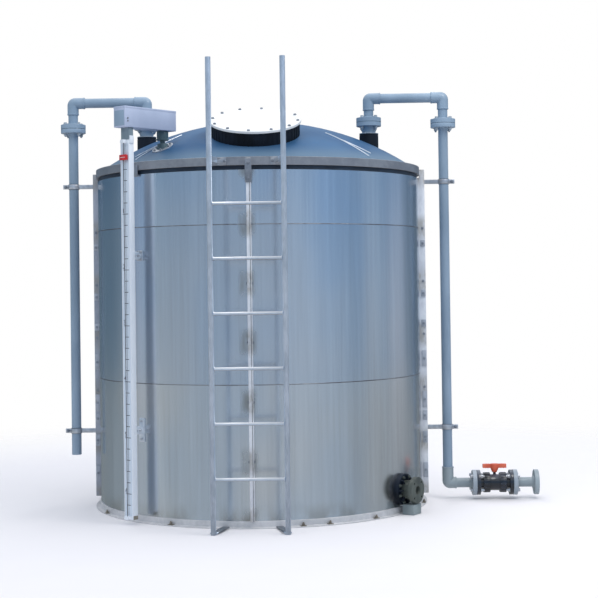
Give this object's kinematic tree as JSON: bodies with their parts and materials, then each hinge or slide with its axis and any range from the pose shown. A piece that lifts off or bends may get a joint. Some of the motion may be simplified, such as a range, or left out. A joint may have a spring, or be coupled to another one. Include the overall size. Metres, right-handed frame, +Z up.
{
  "type": "chemical storage tank",
  "caption": "Upright round storage tank with domed roof, manhole, ladder, level gauge, vent pipe, filling pipe with ball valve and drain nozzle.",
  "frame": {"origin": "middle of the underside of the floor plate, on the ground", "axes": "+Z up, -Y towards the ladder, +X towards the filling pipe and its valve"},
  "size_m": [2.969, 2.263, 2.6],
  "materials": {
    "stainless": "bright rolled",
    "base_steel": "dull",
    "rim_steel": "satin",
    "bright_steel": "satin",
    "ladder_steel": "satin",
    "roof_sheet": "gloss",
    "black_rubber": "matt",
    "black_resin": "satin",
    "white_resin": "satin",
    "gauge_grey": "satin",
    "board_white": "satin",
    "pointer_red": "satin",
    "pipe_resin": "satin",
    "valve_resin": "satin",
    "handle_resin": "satin"
  },
  "bodies": {
    "tank": {"tank_floor": "stainless", "base_ring": "base_steel", "shell_lower_front_left": "stainless", "shell_lower_front_right": "stainless", "shell_lower_back_left": "stainless", "shell_lower_back_right": "stainless", "shell_middle_front_left": "stainless", "shell_middle_front_right": "stainless", "shell_middle_back_left": "stainless", "shell_middle_back_right": "stainless", "shell_upper_front_left": "stainless", "shell_upper_front_right": "stainless", "shell_upper_back_left": "stainless", "shell_upper_back_right": "stainless", "joint_strip_front": "stainless", "joint_strip_right": "stainless", "joint_strip_back": "stainless", "joint_strip_left": "stainless", "rim_gasket": "black_rubber", "top_rim": "rim_steel", "roof": "roof_sheet", "manhole_neck": "black_resin", "manhole_lid": "white_resin", "ladder": "ladder_steel", "gauge_board": "board_white", "gauge_leg": "gauge_grey", "gauge_box": "gauge_grey", "float_pipe": "gauge_grey", "guide_wire": "bright_steel", "gauge_bracket_upper": "bright_steel", "gauge_bracket_lower": "bright_steel", "roof_nozzle_left": "black_resin", "roof_nozzle_right": "black_resin", "vent_crossover": "pipe_resin", "vent_bend": "pipe_resin", "vent_downpipe": "pipe_resin", "fill_crossover": "pipe_resin", "fill_bend": "pipe_resin", "fill_downpipe": "pipe_resin", "fill_elbow": "pipe_resin", "pipe_clamp_left_upper": "bright_steel", "pipe_clamp_left_lower": "bright_steel", "pipe_clamp_right_upper": "bright_steel", "pipe_clamp_right_lower": "bright_steel", "valve_body": "valve_resin", "inlet_spool": "pipe_resin", "drain_pad": "black_resin", "drain_nozzle": "black_resin"},
    "handle": {"valve_ball": "bright_steel", "valve_handle": "handle_resin"},
    "pointer": {"level_pointer": "pointer_red"}
  },
  "joints": [
    {"name": "valve_turn", "type": "hinge", "parent": "tank", "child": "handle", "pos_m": [1.4553, 0, 0.1], "axis": [0, 0, 1], "range_deg": [0, 90]},
    {"name": "pointer_slide", "type": "slide", "parent": "tank", "child": "pointer", "axis": [0, 0, 1], "range_m": [-2, 0]}
  ]
}
